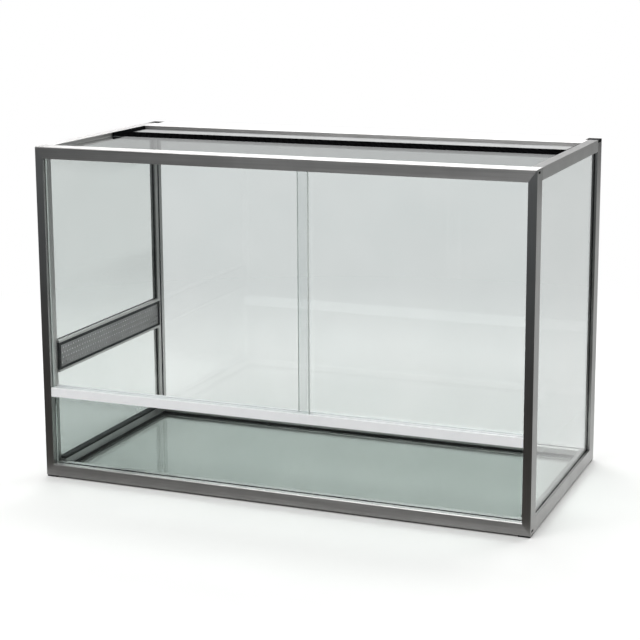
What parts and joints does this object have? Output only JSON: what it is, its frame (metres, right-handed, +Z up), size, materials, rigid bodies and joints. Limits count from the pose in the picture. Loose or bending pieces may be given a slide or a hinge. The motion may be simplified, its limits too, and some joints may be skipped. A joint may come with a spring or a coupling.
{
  "type": "reptile terrarium",
  "caption": "Glass reptile terrarium in a slim aluminium frame, with overlapping sliding glass front doors in a double track, a side vent strip and a roof vent.",
  "frame": {"origin": "middle of the footprint, on the surface that the feet stand on", "axes": "+X to the right as seen from the doors, +Y to the back, +Z up"},
  "size_m": [0.6, 0.3, 0.4],
  "materials": {
    "aluminium": "satin anodised",
    "vent_panel": "satin anodised, perforated",
    "black_sheet": "matt black, perforated",
    "glass": "clear float glass with ground edges",
    "rubber": "matt",
    "pale_plastic": "satin",
    "black_plastic": "matt"
  },
  "bodies": {
    "tank": {"front_top_rail": "aluminium", "front_bottom_rail": "aluminium", "rear_top_rail": "aluminium", "rear_bottom_rail": "aluminium", "front_left_post": "aluminium", "front_right_post": "aluminium", "rear_left_post": "aluminium", "rear_right_post": "aluminium", "left_top_rail": "aluminium", "right_top_rail": "aluminium", "left_bottom_rail": "aluminium", "right_bottom_rail": "aluminium", "front_corner_connectors": "black_plastic", "rear_corner_connectors": "black_plastic", "feet": "rubber", "floor_glass": "glass", "floor_bead_strip": "rubber", "back_glass": "glass", "back_glass_seal": "rubber", "right_side_glass": "glass", "right_glass_seal": "rubber", "left_lower_glass": "glass", "left_lower_seal": "rubber", "left_upper_glass": "glass", "left_upper_seal": "rubber", "left_vent_lower_rail": "aluminium", "left_vent_upper_rail": "aluminium", "left_vent_panel": "vent_panel", "left_vent_gasket": "rubber", "front_lower_glass": "glass", "front_lower_seal": "rubber", "lower_door_track": "pale_plastic", "upper_door_track": "pale_plastic", "roof_glass": "glass", "roof_glass_seal": "rubber", "roof_joint_profile": "black_plastic", "roof_vent_frame": "black_plastic", "roof_vent_sheet": "black_sheet", "roof_vent_bar": "aluminium"},
    "left_sliding_door": {"left_door": "glass"},
    "right_sliding_door": {"right_door": "glass"}
  },
  "joints": [
    {"name": "left_door_slide", "type": "slide", "parent": "tank", "child": "left_sliding_door", "axis": [1, 0, 0], "range_m": [0, 0.248]},
    {"name": "right_door_slide", "type": "slide", "parent": "tank", "child": "right_sliding_door", "axis": [-1, 0, 0], "range_m": [0, 0.315]}
  ]
}
